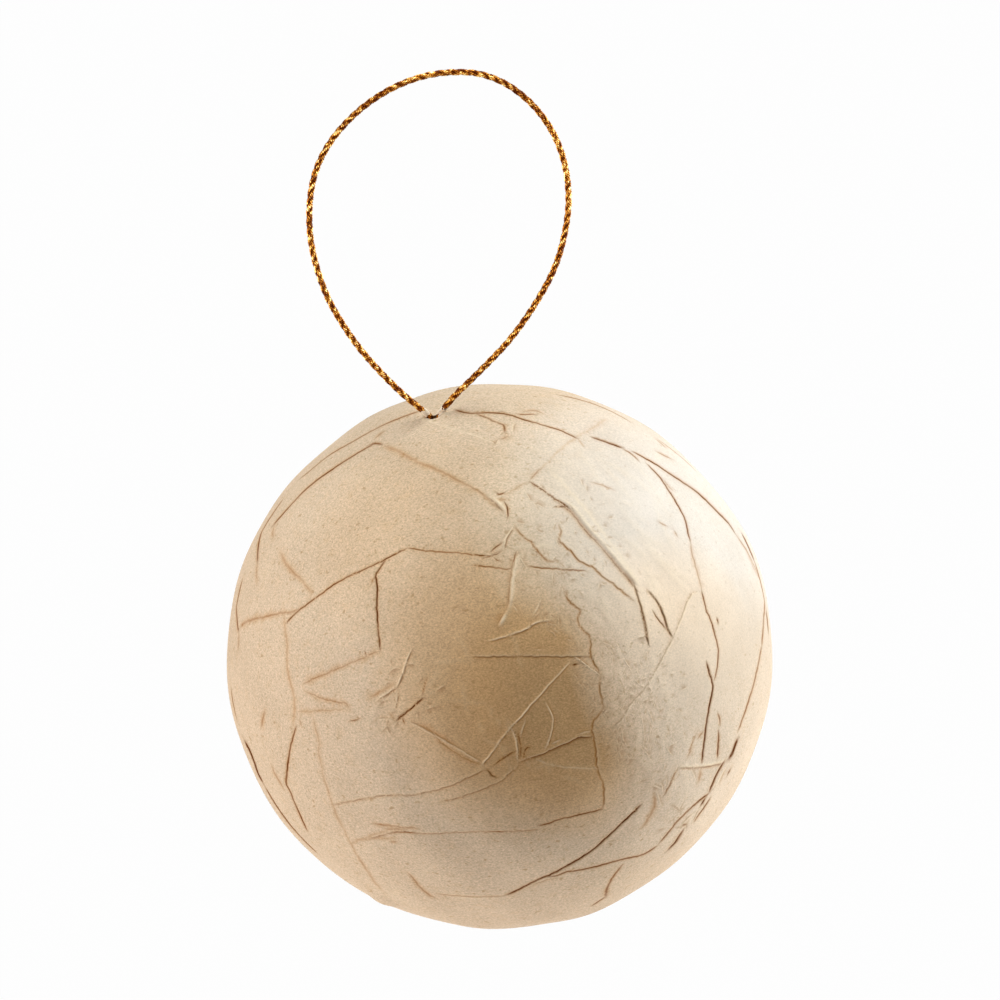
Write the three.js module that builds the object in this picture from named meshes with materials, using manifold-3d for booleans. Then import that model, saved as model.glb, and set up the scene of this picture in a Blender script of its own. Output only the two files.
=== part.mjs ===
// Papier-mache ball ornament: a hollow paper shell on a gold cord loop.
// Millimetres, +Z up. The origin is where the loop hangs: the inner side of the cord at its top.
// X runs along the loop's plane and the front of the ball faces -Y.

import * as THREE from 'three';
import { ConvexHull } from 'three/addons/math/ConvexHull.js';
import { mergeVertices } from 'three/addons/utils/BufferGeometryUtils.js';
import Module from 'manifold-3d';

// Driving dimensions

const BALL_DIAMETER = 80;
const WALL = 2;
const CORD_DIAMETER = 1;
const CORD_CLEARANCE = 0.3;
const SLOT_SPARE = 0.3;
const KNOT_DIAMETER = 5.8;

// Folds in the pasted paper

const CREASE_DEPTH = 0.5;
const CREASE_SPREAD = 1.1;
const LAP_RISE = 0.5;
const LAP_LIP = 0.35;
const LAP_RUN = 3;
const PINCH_RISE = 0.5;
const PINCH_SPREAD = 0.7;
const FOLD_FADE = 4;
const CRUMPLE_RISE = 0.12;
const CRUMPLE_LENGTH = 17;

// Facet sizes of the shell

const FOLD_STEP = 2.6;
const FILL_STEP = 3.6;
const FILL_GAP = 1.7;
const ROW_GAP = 0.3;
const INNER_SPLITS = 5;
const CORD_SIDES = 8;
const CORD_STEPS = 78;

// The folds are drawn on a sheet of 1000 by 1000 units, right and down, as the front of the ball
// is seen from above and a little aslant. The ball's circle on that sheet and the sheet's tilt:

const SHEET_CENTRE = [500, 656];
const SHEET_RADIUS = 272.5;
const SHEET_TILT = THREE.MathUtils.degToRad(24.9);
const SHEET_ROLL = THREE.MathUtils.degToRad(4.5);
const SHEET_EDGE = 0.995;

// The back of the ball carries the same drawing, turned over, without the folds at its edge.

const FRONT = { turn: 0, flip: 0 };
const BACK = { turn: THREE.MathUtils.degToRad(130), flip: Math.PI };
const BACK_EDGE = 0.93;

// Creases: valleys where two sheets of paper meet

const CREASES = {
  crownLeft: [[299, 478], [334, 451], [370, 431], [420, 411]],
  shoulderLeft: [[273, 525], [294, 500], [338, 465], [370, 446], [384, 446]],
  crownRight: [[455, 410], [487, 413], [526, 421], [560, 430], [582, 442]],
  crownTuck: [[476, 414], [496, 423], [505, 433]],
  brow: [[591, 436], [622, 448], [638, 462]],
  shoulderRight: [[631, 451], [670, 473], [712, 508], [735, 536]],
  rightMeridian: [[646, 464], [669, 492], [687, 533], [697, 575], [709, 618], [717, 650], [713, 680]],
  rightDrop: [[705, 661], [711, 685], [706, 718], [701, 762]],
  rightRim: [[744, 532], [760, 580], [762, 621], [750, 696], [730, 757]],
  rightHeel: [[724, 760], [716, 775], [709, 792]],
  heelSlant: [[709, 793], [691, 807], [671, 829], [660, 842]],
  heelSliver: [[684, 828], [675, 843], [668, 851]],
  lowSlash: [[507, 894], [537, 879], [590, 850], [641, 803]],
  lowBranch: [[552, 875], [582, 868], [620, 858], [657, 846]],
  baseHook: [[622, 863], [608, 884], [606, 897], [592, 906]],
  bellyRight: [[530, 826], [560, 817], [602, 808]],
  baseLeft: [[407, 871], [421, 887], [436, 897]],
  leftRim: [[280, 496], [264, 525], [258, 563]],
  leftEdge: [[239, 578], [235, 598], [239, 631]],
  waistLeft: [[287, 623], [320, 594], [370, 567], [408, 548], [430, 551], [485, 556]],
  waistDrop: [[387, 558], [376, 575], [378, 608], [381, 649]],
  waistTail: [[381, 649], [360, 658], [330, 672], [304, 684]],
  waistRight: [[472, 565], [513, 568], [560, 569], [586, 571]],
  hipLeft: [[428, 676], [424, 694], [410, 709], [397, 719]],
  flankLeft: [[297, 725], [289, 763], [288, 784], [300, 812], [308, 830]],
  leftHeel: [[246, 741], [254, 760], [263, 783], [274, 805]],
};

// Laps: the edge of a sheet that lies over its neighbour, which is on the right of the line as drawn

const LAPS = {
  bigFold: [[529, 481], [562, 504], [601, 548], [634, 586], [647, 644]],
  browFold: [[384, 446], [440, 471], [489, 499], [505, 512]],
  wavyEdge: [[559, 525], [559, 540], [578, 560], [603, 577], [632, 600]],
  tornEdge: [[566, 590], [579, 609], [583, 629], [591, 655], [600, 675], [604, 706]],
  tornTail: [[604, 706], [592, 722], [596, 750], [600, 775], [603, 808]],
  sideFlap: [[646, 589], [662, 615], [672, 637]],
  sideSeam: [[673, 637], [645, 688], [612, 727]],
  belt: [[470, 656], [530, 655], [590, 655]],
  lowerLap: [[385, 793], [430, 790], [463, 778]],
  apron: [[440, 800], [505, 777], [519, 761], [560, 744], [592, 734]],
  bellyLine: [[370, 837], [400, 830], [460, 830], [540, 827]],
  baseLine: [[435, 892], [470, 894], [507, 894]],
  rightPatch: [[724, 760], [702, 765], [678, 765], [669, 781], [662, 795]],
  leftStrip: [[285, 612], [288, 662], [295, 711], [293, 728]],
  leftSlope: [[281, 551], [302, 579], [310, 599]],
  leftBack: [[306, 690], [330, 700], [350, 705]],
  nearFold: [[515, 525], [532, 542], [554, 560]],
  column: [[518, 554], [511, 578], [509, 605]],
};

// Pinches: narrow ridges where the wet paper was nipped together

const PINCHES = {
  longRidge: [[568, 662], [540, 693], [511, 725], [481, 764]],
  crossRidge: [[489, 640], [513, 633], [537, 622], [551, 619]],
  noseRidge: [[514, 524], [506, 538], [503, 550]],
  arcRidge: [[546, 703], [552, 716], [550, 733], [545, 747]],
  legRidge: [[511, 726], [516, 740], [517, 760]],
  hipRidge: [[413, 649], [406, 668], [398, 687], [387, 695]],
  cornerRidge: [[573, 655], [588, 666], [600, 675]],
  smallRidge: [[541, 598], [532, 615]],
};

// Swells and flats of the ball's outline: the place on its circle in degrees, clockwise from the
// right on the sheet, then the rise and the spread

const SWELLS = [
  { angle: 27, rise: -0.3, spread: 8 },
  { angle: 60, rise: -0.35, spread: 9 },
  { angle: 115, rise: 0.4, spread: 3 },
  { angle: 168, rise: 0.3, spread: 7 },
  { angle: 228, rise: -0.35, spread: 8 },
  { angle: 279, rise: -0.25, spread: 7 },
  { angle: 339, rise: 0.35, spread: 9 },
];

// The loop's route in its plane, as [x, z], from the left strand over the top to the right strand

const LOOP_FOOT = [-6.8, -54.4];
const LOOP_ROUTE = [
  [-8.5, -53.2], [-11.4, -50.1], [-14.5, -46.1], [-17.1, -42.2], [-19.4, -37.8], [-21.1, -33.6],
  [-22.3, -28.6], [-22.8, -23.5], [-22.4, -18.0], [-21.1, -13.2], [-18.7, -9.0], [-15.4, -5.4],
  [-11.8, -2.7], [-8.0, -0.8], [-4.0, 0.3], [0, 0.5], [3.7, -0.1], [7.1, -1.8], [9.9, -4.3],
  [12.2, -7.4], [14.0, -11.2], [15.0, -15.2], [15.3, -19.5], [14.9, -23.9], [13.6, -29.0],
  [11.9, -33.1], [9.7, -36.8], [7.4, -40.1], [4.7, -43.4], [1.8, -46.3], [-1.2, -49.1], [-3.9, -51.6],
];

const ballRadius = BALL_DIAMETER / 2;
const innerRadius = ballRadius - WALL;
const slotRise = Math.sqrt(ballRadius ** 2 - LOOP_FOOT[0] ** 2);
const ballCentre = new THREE.Vector3(0, 0, LOOP_FOOT[1] - slotRise);
const strandOffset = (CORD_DIAMETER + CORD_CLEARANCE) / 2;
const wasm = await Module();
wasm.setup();

// A point of the drawing, as a direction from the ball's centre
function ballDirection([across, down], side) {
  const flat = new THREE.Vector2(across - SHEET_CENTRE[0], SHEET_CENTRE[1] - down);
  flat.divideScalar(SHEET_RADIUS).clampLength(0, SHEET_EDGE);
  flat.rotateAround(new THREE.Vector2(), side.turn - SHEET_ROLL);
  const toward = Math.sqrt(1 - flat.lengthSq());
  const direction = new THREE.Vector3(flat.x, -toward, flat.y);
  return direction.applyAxisAngle(new THREE.Vector3(1, 0, 0), side.flip - SHEET_TILT);
}

function sheetDistance([across, down]) {
  return Math.hypot(across - SHEET_CENTRE[0], down - SHEET_CENTRE[1]) / SHEET_RADIUS;
}

// Tent-shaped sections across a fold, by the distance to the left of its line
const creaseSection = {
  rows: [-CREASE_SPREAD, 0, CREASE_SPREAD],
  rise: (left) => -CREASE_DEPTH * Math.max(0, 1 - Math.abs(left) / CREASE_SPREAD),
};
const lapSection = {
  rows: [-LAP_LIP, 0, LAP_RUN],
  rise: (left) => LAP_RISE * Math.max(0, left < 0 ? 1 + left / LAP_LIP : 1 - left / LAP_RUN),
};
const pinchSection = {
  rows: [-PINCH_SPREAD, 0, PINCH_SPREAD],
  rise: (left) => PINCH_RISE * Math.max(0, 1 - Math.abs(left) / PINCH_SPREAD),
};

// One fold as stations along its line on the smooth ball, each with its own leftward direction
function foldOnBall(line, section, side) {
  const curve = new THREE.CatmullRomCurve3(
    line.map((point) => ballDirection(point, side).multiplyScalar(ballRadius)),
  );
  const length = curve.getLength();
  const steps = Math.max(2, Math.round(length / FOLD_STEP));
  const stations = curve.getSpacedPoints(steps).map((point, i) => {
    const along = (length * i) / steps;
    const out = point.clone().normalize();
    const left = out.clone().cross(curve.getTangentAt(i / steps)).normalize();
    const place = out.multiplyScalar(ballRadius);
    return { place, left, strength: Math.min(1, Math.min(along, length - along) / FOLD_FADE) };
  });
  return { section, stations };
}

function allFolds() {
  const folds = [];
  for (const side of [FRONT, BACK]) {
    const shown = (line) => side === FRONT || line.every((point) => sheetDistance(point) < BACK_EDGE);
    for (const [lines, section] of [[LAPS, lapSection], [CREASES, creaseSection], [PINCHES, pinchSection]]) {
      for (const line of Object.values(lines).filter(shown)) {
        folds.push(foldOnBall(line, section, side));
      }
    }
  }
  return folds;
}

// How far one fold lifts the paper at a place on the smooth ball
function foldRise({ section, stations }, place) {
  let nearest = Infinity;
  let rise = 0;
  const offset = new THREE.Vector3();
  for (let i = 1; i < stations.length; i += 1) {
    const from = stations[i - 1];
    const to = stations[i];
    const segment = to.place.clone().sub(from.place);
    const share = offset.copy(place).sub(from.place).dot(segment) / segment.lengthSq();
    const t = THREE.MathUtils.clamp(share, 0, 1);
    offset.copy(place).sub(from.place.clone().lerp(to.place, t));
    const distance = offset.length();
    if (distance < nearest) {
      nearest = distance;
      const onLeft = offset.dot(from.left.clone().lerp(to.left, t)) >= 0;
      const strength = THREE.MathUtils.lerp(from.strength, to.strength, t);
      rise = strength * section.rise(onLeft ? distance : -distance);
    }
  }
  return rise;
}

// Broad, shallow crumpling of the whole shell
function crumple(place) {
  const wave = (2 * Math.PI) / CRUMPLE_LENGTH;
  const rows = Math.cos(wave * (0.8 * place.y - 0.3 * place.x));
  const across = Math.sin(wave * (place.x + 0.6 * place.z)) * rows;
  const slant = Math.sin(wave * (0.7 * place.z - 0.5 * place.y) + 1) * Math.cos(wave * 0.9 * place.x + 2);
  return CRUMPLE_RISE * (across + slant);
}

function swellRise({ angle, rise, spread }, place) {
  const turn = THREE.MathUtils.degToRad(angle);
  const onSheet = [
    SHEET_CENTRE[0] + SHEET_RADIUS * Math.cos(turn),
    SHEET_CENTRE[1] + SHEET_RADIUS * Math.sin(turn),
  ];
  const distance = ballDirection(onSheet, FRONT).multiplyScalar(ballRadius).distanceTo(place);
  return rise * Math.exp(-((distance / spread) ** 2));
}

function paperRise(folds, place) {
  const lifts = folds.map((fold) => foldRise(fold, place));
  const swells = SWELLS.reduce((sum, swell) => sum + swellRise(swell, place), 0);
  return Math.max(0, ...lifts) + Math.min(0, ...lifts) + swells + crumple(place);
}

// Points of the shell: rows along every fold first, then an even fill between them
function shellPlaces(folds) {
  const places = [];
  const addClearOf = (place, gap) => {
    if (places.every((other) => other.distanceToSquared(place) > gap ** 2)) {
      places.push(place);
    }
  };
  for (const { section, stations } of folds) {
    for (const { place, left } of stations) {
      for (const row of section.rows) {
        addClearOf(place.clone().addScaledVector(left, row).setLength(ballRadius), ROW_GAP);
      }
    }
  }
  const fillCount = Math.round((4 * Math.PI * ballRadius ** 2) / FILL_STEP ** 2);
  const goldenTurn = Math.PI * (3 - Math.sqrt(5));
  for (let i = 0; i < fillCount; i += 1) {
    const up = 1 - (2 * i + 1) / fillCount;
    const ring = Math.sqrt(1 - up ** 2);
    const fill = new THREE.Vector3(ring * Math.cos(goldenTurn * i), ring * Math.sin(goldenTurn * i), up);
    addClearOf(fill.multiplyScalar(ballRadius), FILL_GAP);
  }
  return places;
}

function foldedBall() {
  const folds = allFolds();
  const places = shellPlaces(folds);
  const order = new Map(places.map((place, i) => [place, i]));
  const triangles = new ConvexHull().setFromPoints(places).faces.flatMap((face) => {
    const edge = face.edge;
    return [edge, edge.next, edge.prev].map((corner) => order.get(corner.head().point));
  });
  const corners = places.flatMap((place) => {
    const radius = ballRadius + paperRise(folds, place);
    return place.clone().setLength(radius).add(ballCentre).toArray();
  });
  return new THREE.BufferGeometry()
    .setAttribute('position', new THREE.Float32BufferAttribute(corners, 3))
    .setIndex(triangles);
}

function toSolid(geometry) {
  geometry.deleteAttribute('normal');
  geometry.deleteAttribute('uv');
  const merged = mergeVertices(geometry);
  return new wasm.Manifold(new wasm.Mesh({
    numProp: 3,
    vertProperties: Float32Array.from(merged.attributes.position.array),
    triVerts: Uint32Array.from(merged.index.array),
  }));
}

function toGeometry(solid) {
  const mesh = solid.getMesh();
  const geometry = new THREE.BufferGeometry()
    .setAttribute('position', new THREE.Float32BufferAttribute(mesh.vertProperties, mesh.numProp))
    .setIndex(Array.from(mesh.triVerts));
  geometry.computeVertexNormals();
  return geometry;
}

// The oval slot through the wall, long enough for both strands side by side
function cordSlot() {
  const endRadius = CORD_DIAMETER / 2 + CORD_CLEARANCE;
  const endOffset = strandOffset + SLOT_SPARE;
  const oval = new THREE.Shape()
    .absarc(endOffset, 0, endRadius, -Math.PI / 2, Math.PI / 2)
    .absarc(-endOffset, 0, endRadius, Math.PI / 2, (3 * Math.PI) / 2);
  const depth = 4 * WALL;
  return new THREE.ExtrudeGeometry(oval, { depth, bevelEnabled: false, curveSegments: CORD_SIDES / 2 })
    .translate(LOOP_FOOT[0], 0, LOOP_FOOT[1] - depth / 2);
}

function paperBall() {
  const hollow = new THREE.IcosahedronGeometry(innerRadius, Math.round(INNER_SPLITS));
  hollow.translate(...ballCentre);
  const shell = toSolid(foldedBall()).subtract(toSolid(hollow)).subtract(toSolid(cordSlot()));
  const paper = new THREE.MeshStandardMaterial({ color: 0xcdaf8b, roughness: 0.85, metalness: 0 });
  const mesh = new THREE.Mesh(toGeometry(shell), paper);
  mesh.name = 'paper_ball';
  return mesh;
}

// The knot sits just under the inner wall, square to it, and is too wide for the slot
function knotPlace() {
  const tube = CORD_DIAMETER / 2;
  const ring = (KNOT_DIAMETER / 2 - tube) / 1.5;
  const halfHeight = ring / 2 + tube;
  const up = new THREE.Vector3(LOOP_FOOT[0], 0, slotRise).normalize();
  const seat = Math.sqrt(innerRadius ** 2 - (KNOT_DIAMETER / 2) ** 2) - CORD_CLEARANCE;
  const centre = ballCentre.clone().addScaledVector(up, seat - halfHeight);
  return { tube, ring, halfHeight, up, centre };
}

function goldCord() {
  return new THREE.MeshStandardMaterial({ color: 0xd09a2e, roughness: 0.35, metalness: 0.9 });
}

function cordKnot() {
  const { tube, ring, up, centre } = knotPlace();
  const mesh = new THREE.Mesh(new THREE.TorusKnotGeometry(ring, tube, 60, CORD_SIDES, 2, 3), goldCord());
  mesh.name = 'cord_knot';
  mesh.position.copy(centre);
  mesh.quaternion.setFromUnitVectors(new THREE.Vector3(0, 0, 1), up);
  return mesh;
}

// Both ends of the cord stand in the slot, and stop on top of the knot
function hangingCord() {
  const { halfHeight, centre } = knotPlace();
  const leanAtKnot = Math.abs(LOOP_FOOT[0] / slotRise) * strandOffset;
  const endHeight = centre.z + halfHeight + leanAtKnot + CORD_CLEARANCE;
  const strandInSlot = (sideways) => [
    [LOOP_FOOT[0] + sideways * strandOffset, LOOP_FOOT[1]],
    [LOOP_FOOT[0] + sideways * strandOffset, LOOP_FOOT[1] - WALL],
    [LOOP_FOOT[0] + sideways * strandOffset, endHeight],
  ];
  const route = [...strandInSlot(-1).reverse(), ...LOOP_ROUTE, ...strandInSlot(1)];
  const path = new THREE.CatmullRomCurve3(route.map(([x, z]) => new THREE.Vector3(x, 0, z)));
  const section = new THREE.Shape().absarc(0, 0, CORD_DIAMETER / 2, 0, 2 * Math.PI);
  const cord = new THREE.ExtrudeGeometry(section, {
    steps: CORD_STEPS,
    curveSegments: CORD_SIDES / 2,
    bevelEnabled: false,
    extrudePath: path,
  });
  const mesh = new THREE.Mesh(cord, goldCord());
  mesh.name = 'hanging_cord';
  return mesh;
}

const ornament = new THREE.Group();
ornament.add(paperBall(), hangingCord(), cordKnot());

export default ornament;
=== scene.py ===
# %% [markdown]
# # A papier-mache ball on a gold cord
# The ornament is one hollow ball of pasted kraft paper, about 80 mm across. A thin gold cord is
# knotted inside it, comes out through a small slot beside the top and makes a loop to hang it by.
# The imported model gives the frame: metres, Z up, the origin at the hang point and the front of the
# ball towards -Y. Every piece below is made in place in that frame, from sizes in millimetres.

# %% Load the frame
import math
from collections import namedtuple

import bpy
import numpy as np
from mathutils import Matrix, Vector
from mathutils.geometry import delaunay_2d_cdt
from mathutils.kdtree import KDTree


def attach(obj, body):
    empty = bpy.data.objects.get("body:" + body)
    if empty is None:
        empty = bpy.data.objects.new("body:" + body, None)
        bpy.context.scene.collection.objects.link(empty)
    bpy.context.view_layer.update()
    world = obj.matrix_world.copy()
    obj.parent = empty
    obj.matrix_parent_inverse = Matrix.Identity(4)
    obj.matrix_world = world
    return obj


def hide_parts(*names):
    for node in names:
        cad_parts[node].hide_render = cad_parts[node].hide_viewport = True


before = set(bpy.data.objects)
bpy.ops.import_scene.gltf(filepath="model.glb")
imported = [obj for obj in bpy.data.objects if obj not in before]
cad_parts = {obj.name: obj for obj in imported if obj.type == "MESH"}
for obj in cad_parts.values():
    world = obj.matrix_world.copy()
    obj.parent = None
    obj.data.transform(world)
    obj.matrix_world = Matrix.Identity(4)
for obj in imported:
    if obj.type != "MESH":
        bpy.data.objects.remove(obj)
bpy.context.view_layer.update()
scene = bpy.context.scene
MM = 0.001
print("nodes:", sorted(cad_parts))

# %% [markdown]
# ## The camera
# The ball's outline is a circle 545 pixels wide, so one pixel is 80 / 545 mm at its centre. The
# slot beside the top shows that the view looks down by about 25 degrees, and the loop's lean that
# the picture is turned by 4.5 degrees. A long lens far away keeps the outline a true circle. The
# camera could be shifted to put the ball low in the frame, but moving it up along its own vertical
# does the same and leaves the other views alone.

# %% Place the camera
BALL_RADIUS = 40.0
BALL_CENTRE = Vector((0.0, 0.0, -93.82))
SHEET_SIZE = 1000.0
SHEET_CENTRE = (500.0, 656.0)
SHEET_RADIUS = 272.5
SHEET_TILT = math.radians(24.9)
SHEET_ROLL = math.radians(4.5)
LENS_MM = 1500.0
SENSOR_MM = 36.0
CLIP_END_M = 100

pixel = BALL_RADIUS / SHEET_RADIUS
toward = Vector((0, -math.cos(SHEET_TILT), math.sin(SHEET_TILT)))
up = Vector((0, math.sin(SHEET_TILT), math.cos(SHEET_TILT)))
right = Vector((1, 0, 0))
picture_right = math.cos(SHEET_ROLL) * right - math.sin(SHEET_ROLL) * up
picture_up = math.sin(SHEET_ROLL) * right + math.cos(SHEET_ROLL) * up

camera = bpy.data.objects.new("camera", bpy.data.cameras.new("camera"))
camera.data.lens = LENS_MM
camera.data.sensor_width = SENSOR_MM
camera.data.clip_end = CLIP_END_M
distance = LENS_MM * SHEET_SIZE * pixel / SENSOR_MM
place = BALL_CENTRE + toward * distance + picture_up * (SHEET_CENTRE[1] - SHEET_SIZE / 2) * pixel
axes = Matrix((picture_right, picture_up, toward)).transposed()
camera.matrix_world = Matrix.Translation(place * MM) @ axes.to_4x4()
scene.collection.objects.link(camera)
scene.camera = camera
print(f"camera {distance * MM:.2f} m away, one pixel is {pixel:.4f} mm")

# %% [markdown]
# ## The cord's route
# The cord leaves the knot inside the ball, goes up through the slot, makes a teardrop loop that
# leans to the left and comes back into the same slot. The route is a short list of points in the
# loop's own plane, joined by a smooth curve. A curve object with handles would do as well, but one
# small spline function also serves the folds in the paper further down.

# %% Route of the cord
SLOT_X = -6.8
CORD_STEP = 0.5
LEFT_TAIL = [(-7.45, -58.03), (-7.45, -56.4), (-7.45, -54.4)]
LOOP_ROUTE = [
    (-8.5, -53.2), (-11.4, -50.1), (-14.5, -46.1), (-17.1, -42.2), (-19.4, -37.8), (-21.1, -33.6),
    (-22.3, -28.6), (-22.8, -23.5), (-22.4, -18.0), (-21.1, -13.2), (-18.7, -9.0), (-15.4, -5.4),
    (-11.8, -2.7), (-8.0, -0.8), (-4.0, 0.3), (0, 0.5), (3.7, -0.1), (7.1, -1.8), (9.9, -4.3),
    (12.2, -7.4), (14.0, -11.2), (15.0, -15.2), (15.3, -19.5), (14.9, -23.9), (13.6, -29.0),
    (11.9, -33.1), (9.7, -36.8), (7.4, -40.1), (4.7, -43.4), (1.8, -46.3), (-1.2, -49.1),
    (-3.9, -51.6),
]
RIGHT_TAIL = [(-6.15, -54.4), (-6.15, -56.4), (-6.15, -58.03)]


def smooth_line(points, per_span=16):
    """A smooth line through the points, with per_span steps between neighbours."""
    points = np.asarray(points, float)
    padded = np.vstack([2 * points[0] - points[1], points, 2 * points[-1] - points[-2]])
    a, b, c, d = padded[:-3], padded[1:-2], padded[2:-1], padded[3:]
    t = np.linspace(0, 1, per_span, endpoint=False)[:, None, None]
    line = b + 0.5 * t * (c - a + t * (2 * a - 5 * b + 4 * c - d + t * (3 * (b - c) + d - a)))
    return np.vstack([line.transpose(1, 0, 2).reshape(-1, points.shape[1]), points[-1]])


def even_steps(line, step):
    """The same line, cut into even steps of about that length, and its whole length."""
    along = np.r_[0, np.cumsum(np.linalg.norm(np.diff(line, axis=0), axis=1))]
    marks = np.linspace(0, along[-1], max(3, round(along[-1] / step) + 1))
    return np.stack([np.interp(marks, along, axis) for axis in line.T], axis=1), along[-1]


route_x, route_z = smooth_line(LEFT_TAIL + LOOP_ROUTE + RIGHT_TAIL).T
cord_line, cord_length = even_steps(np.c_[route_x, 0 * route_x, route_z], CORD_STEP)
print(f"cord {cord_length:.1f} mm long in {len(cord_line)} points")

# %% [markdown]
# ## The twisted cord
# Three plies are laid round each other, and each ply is a bundle of flat metallic yarns, so its
# skin has ribs that wind the other way. Copies of a modelled segment could be set along the curve,
# but a Geometry Nodes tree that offsets three copies of the route by a helix follows any route and
# keeps every size as a named input. The ribs come from the profile, which turns as it is swept.

# %% Helpers for node trees
def add_node(tree, kind, inputs=None, **settings):
    """Add a node, set its properties, and set or link its inputs by name or number."""
    made = tree.nodes.new(kind)
    for name, value in settings.items():
        setattr(made, name, value)
    for key, value in (inputs or {}).items():
        if isinstance(value, bpy.types.NodeSocket):
            tree.links.new(value, made.inputs[key])
        else:
            made.inputs[key].default_value = value
    return made


def math_node(tree, operation, *values):
    inputs = dict(enumerate(values))
    return add_node(tree, "ShaderNodeMath", inputs, operation=operation).outputs[0]


def vector_node(tree, operation, *values):
    inputs = dict(enumerate(values))
    return add_node(tree, "ShaderNodeVectorMath", inputs, operation=operation).outputs[0]


def scaled(tree, vector, factor):
    inputs = {0: vector, "Scale": factor}
    return add_node(tree, "ShaderNodeVectorMath", inputs, operation="SCALE").outputs[0]


def stored(tree, geometry, name, value):
    """Keep a number at every point under a name that a finish can read."""
    inputs = {"Geometry": geometry, "Name": name, "Value": value}
    return add_node(
        tree, "GeometryNodeStoreNamedAttribute", inputs, data_type="FLOAT", domain="POINT"
    ).outputs[0]


def moved(tree, geometry, offset):
    inputs = {"Geometry": geometry, "Offset": offset}
    return add_node(tree, "GeometryNodeSetPosition", inputs).outputs[0]


# %% Plies laid round the route
CORD_SIZES = {
    "Lay length": 4.8 * MM,
    "Lay radius": 0.2 * MM,
    "Ply radius": 0.27 * MM,
    "Rib depth": 0.16,
    "Rib lay": 1.9 * MM,
    "Step": 0.2 * MM,
}
PLIES = 3
RIBS = 5


def wound(tree, length, lay, whole_turn):
    """The angle wound over a length, with a whole turn in every lay."""
    return math_node(tree, "MULTIPLY", math_node(tree, "DIVIDE", length, lay), whole_turn)


def laid_plies(tree, given):
    """A helix round the route for each ply, tilted so that its ribs wind the other way."""
    route = add_node(tree, "GeometryNodeMeshToCurve", {"Mesh": given["Route"]}).outputs[0]
    steps = add_node(
        tree, "GeometryNodeResampleCurve", {"Curve": route, "Length": given["Step"]}, mode="LENGTH"
    ).outputs[0]
    plies = add_node(
        tree, "GeometryNodeDuplicateElements", {"Geometry": steps, "Amount": PLIES}, domain="SPLINE"
    ).outputs
    length = add_node(tree, "GeometryNodeSplineParameter").outputs["Length"]
    ply_turn = math_node(tree, "MULTIPLY", plies["Duplicate Index"], math.tau / PLIES)
    turn = math_node(tree, "ADD", wound(tree, length, given["Lay length"], math.tau), ply_turn)
    normal = add_node(tree, "GeometryNodeInputNormal").outputs[0]
    tangent = add_node(tree, "GeometryNodeInputTangent").outputs[0]
    aside = vector_node(tree, "CROSS_PRODUCT", tangent, normal)
    across = scaled(tree, normal, math_node(tree, "COSINE", turn))
    upward = scaled(tree, aside, math_node(tree, "SINE", turn))
    offset = scaled(tree, vector_node(tree, "ADD", across, upward), given["Lay radius"])
    laid = moved(tree, stored(tree, plies[0], "along", length), offset)
    tilt = wound(tree, length, given["Rib lay"], -math.tau)
    return add_node(tree, "GeometryNodeSetCurveTilt", {"Curve": laid, "Tilt": tilt}).outputs[0]


print(f"{PLIES} plies with {RIBS} ribs each")


# %% Ribbed profile of a ply
def ribbed_profile(tree, given):
    circle = add_node(
        tree, "GeometryNodeCurvePrimitiveCircle",
        {"Resolution": 4 * RIBS, "Radius": given["Ply radius"]},
    ).outputs["Curve"]
    round_share = add_node(tree, "GeometryNodeSplineParameter").outputs["Factor"]
    rib = math_node(tree, "COSINE", math_node(tree, "MULTIPLY", round_share, math.tau * RIBS))
    place = add_node(tree, "GeometryNodeInputPosition").outputs[0]
    offset = scaled(tree, place, math_node(tree, "MULTIPLY", rib, given["Rib depth"]))
    return moved(tree, stored(tree, circle, "rib", rib), offset)


# %% Tree of the twisted cord
def cord_tree():
    tree = bpy.data.node_groups.new("twisted cord", "GeometryNodeTree")
    inputs = {"Route": "Geometry", **dict.fromkeys(CORD_SIZES, "Float"), "Finish": "Material"}
    for name, kind in inputs.items():
        tree.interface.new_socket(name, in_out="INPUT", socket_type=f"NodeSocket{kind}")
    tree.interface.new_socket("Cord", in_out="OUTPUT", socket_type="NodeSocketGeometry")
    given = tree.nodes.new("NodeGroupInput").outputs
    plies, profile = laid_plies(tree, given), ribbed_profile(tree, given)
    swept = add_node(
        tree, "GeometryNodeCurveToMesh",
        {"Curve": plies, "Profile Curve": profile, "Fill Caps": True},
    ).outputs[0]
    # crest, how far a point lies from the axis, sets the finish's painted highlight and shade
    axis = add_node(tree, "GeometryNodeProximity", {0: given["Route"]}, target_element="EDGES")
    full = math_node(tree, "ADD", given["Lay radius"], given["Ply radius"])
    crest = math_node(tree, "DIVIDE", axis.outputs["Distance"], full)
    marked = stored(tree, swept, "crest", crest)
    smooth = add_node(tree, "GeometryNodeSetShadeSmooth", {"Geometry": marked}).outputs[0]
    real = add_node(tree, "GeometryNodeRealizeInstances", {"Geometry": smooth}).outputs[0]
    finished = add_node(
        tree, "GeometryNodeSetMaterial", {"Geometry": real, "Material": given["Finish"]}
    )
    add_node(tree, "NodeGroupOutput", {0: finished.outputs[0]})
    return tree


# %% [markdown]
# ## The gold finish
# The yarns are foil-wrapped gold, and the finish paints their light and shade: crests get a pale
# yellow painted highlight, flanks are orange and the grooves get dark brown painted shade. A painted
# image would do, but the tree has stored what a finish needs at every point: crest, how far it lies
# from the cord's axis, rib, its height on the ply, and along, its place on the cord. A colour ramp
# turns the first two into painted highlight and shade, and a noise breaks the crests into flecks.
# The third tells where a film of paste from the ball covers the foil, just above the slot.

# %% Helpers for finishes
NOISE_ROUGHNESS = 0.55


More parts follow.
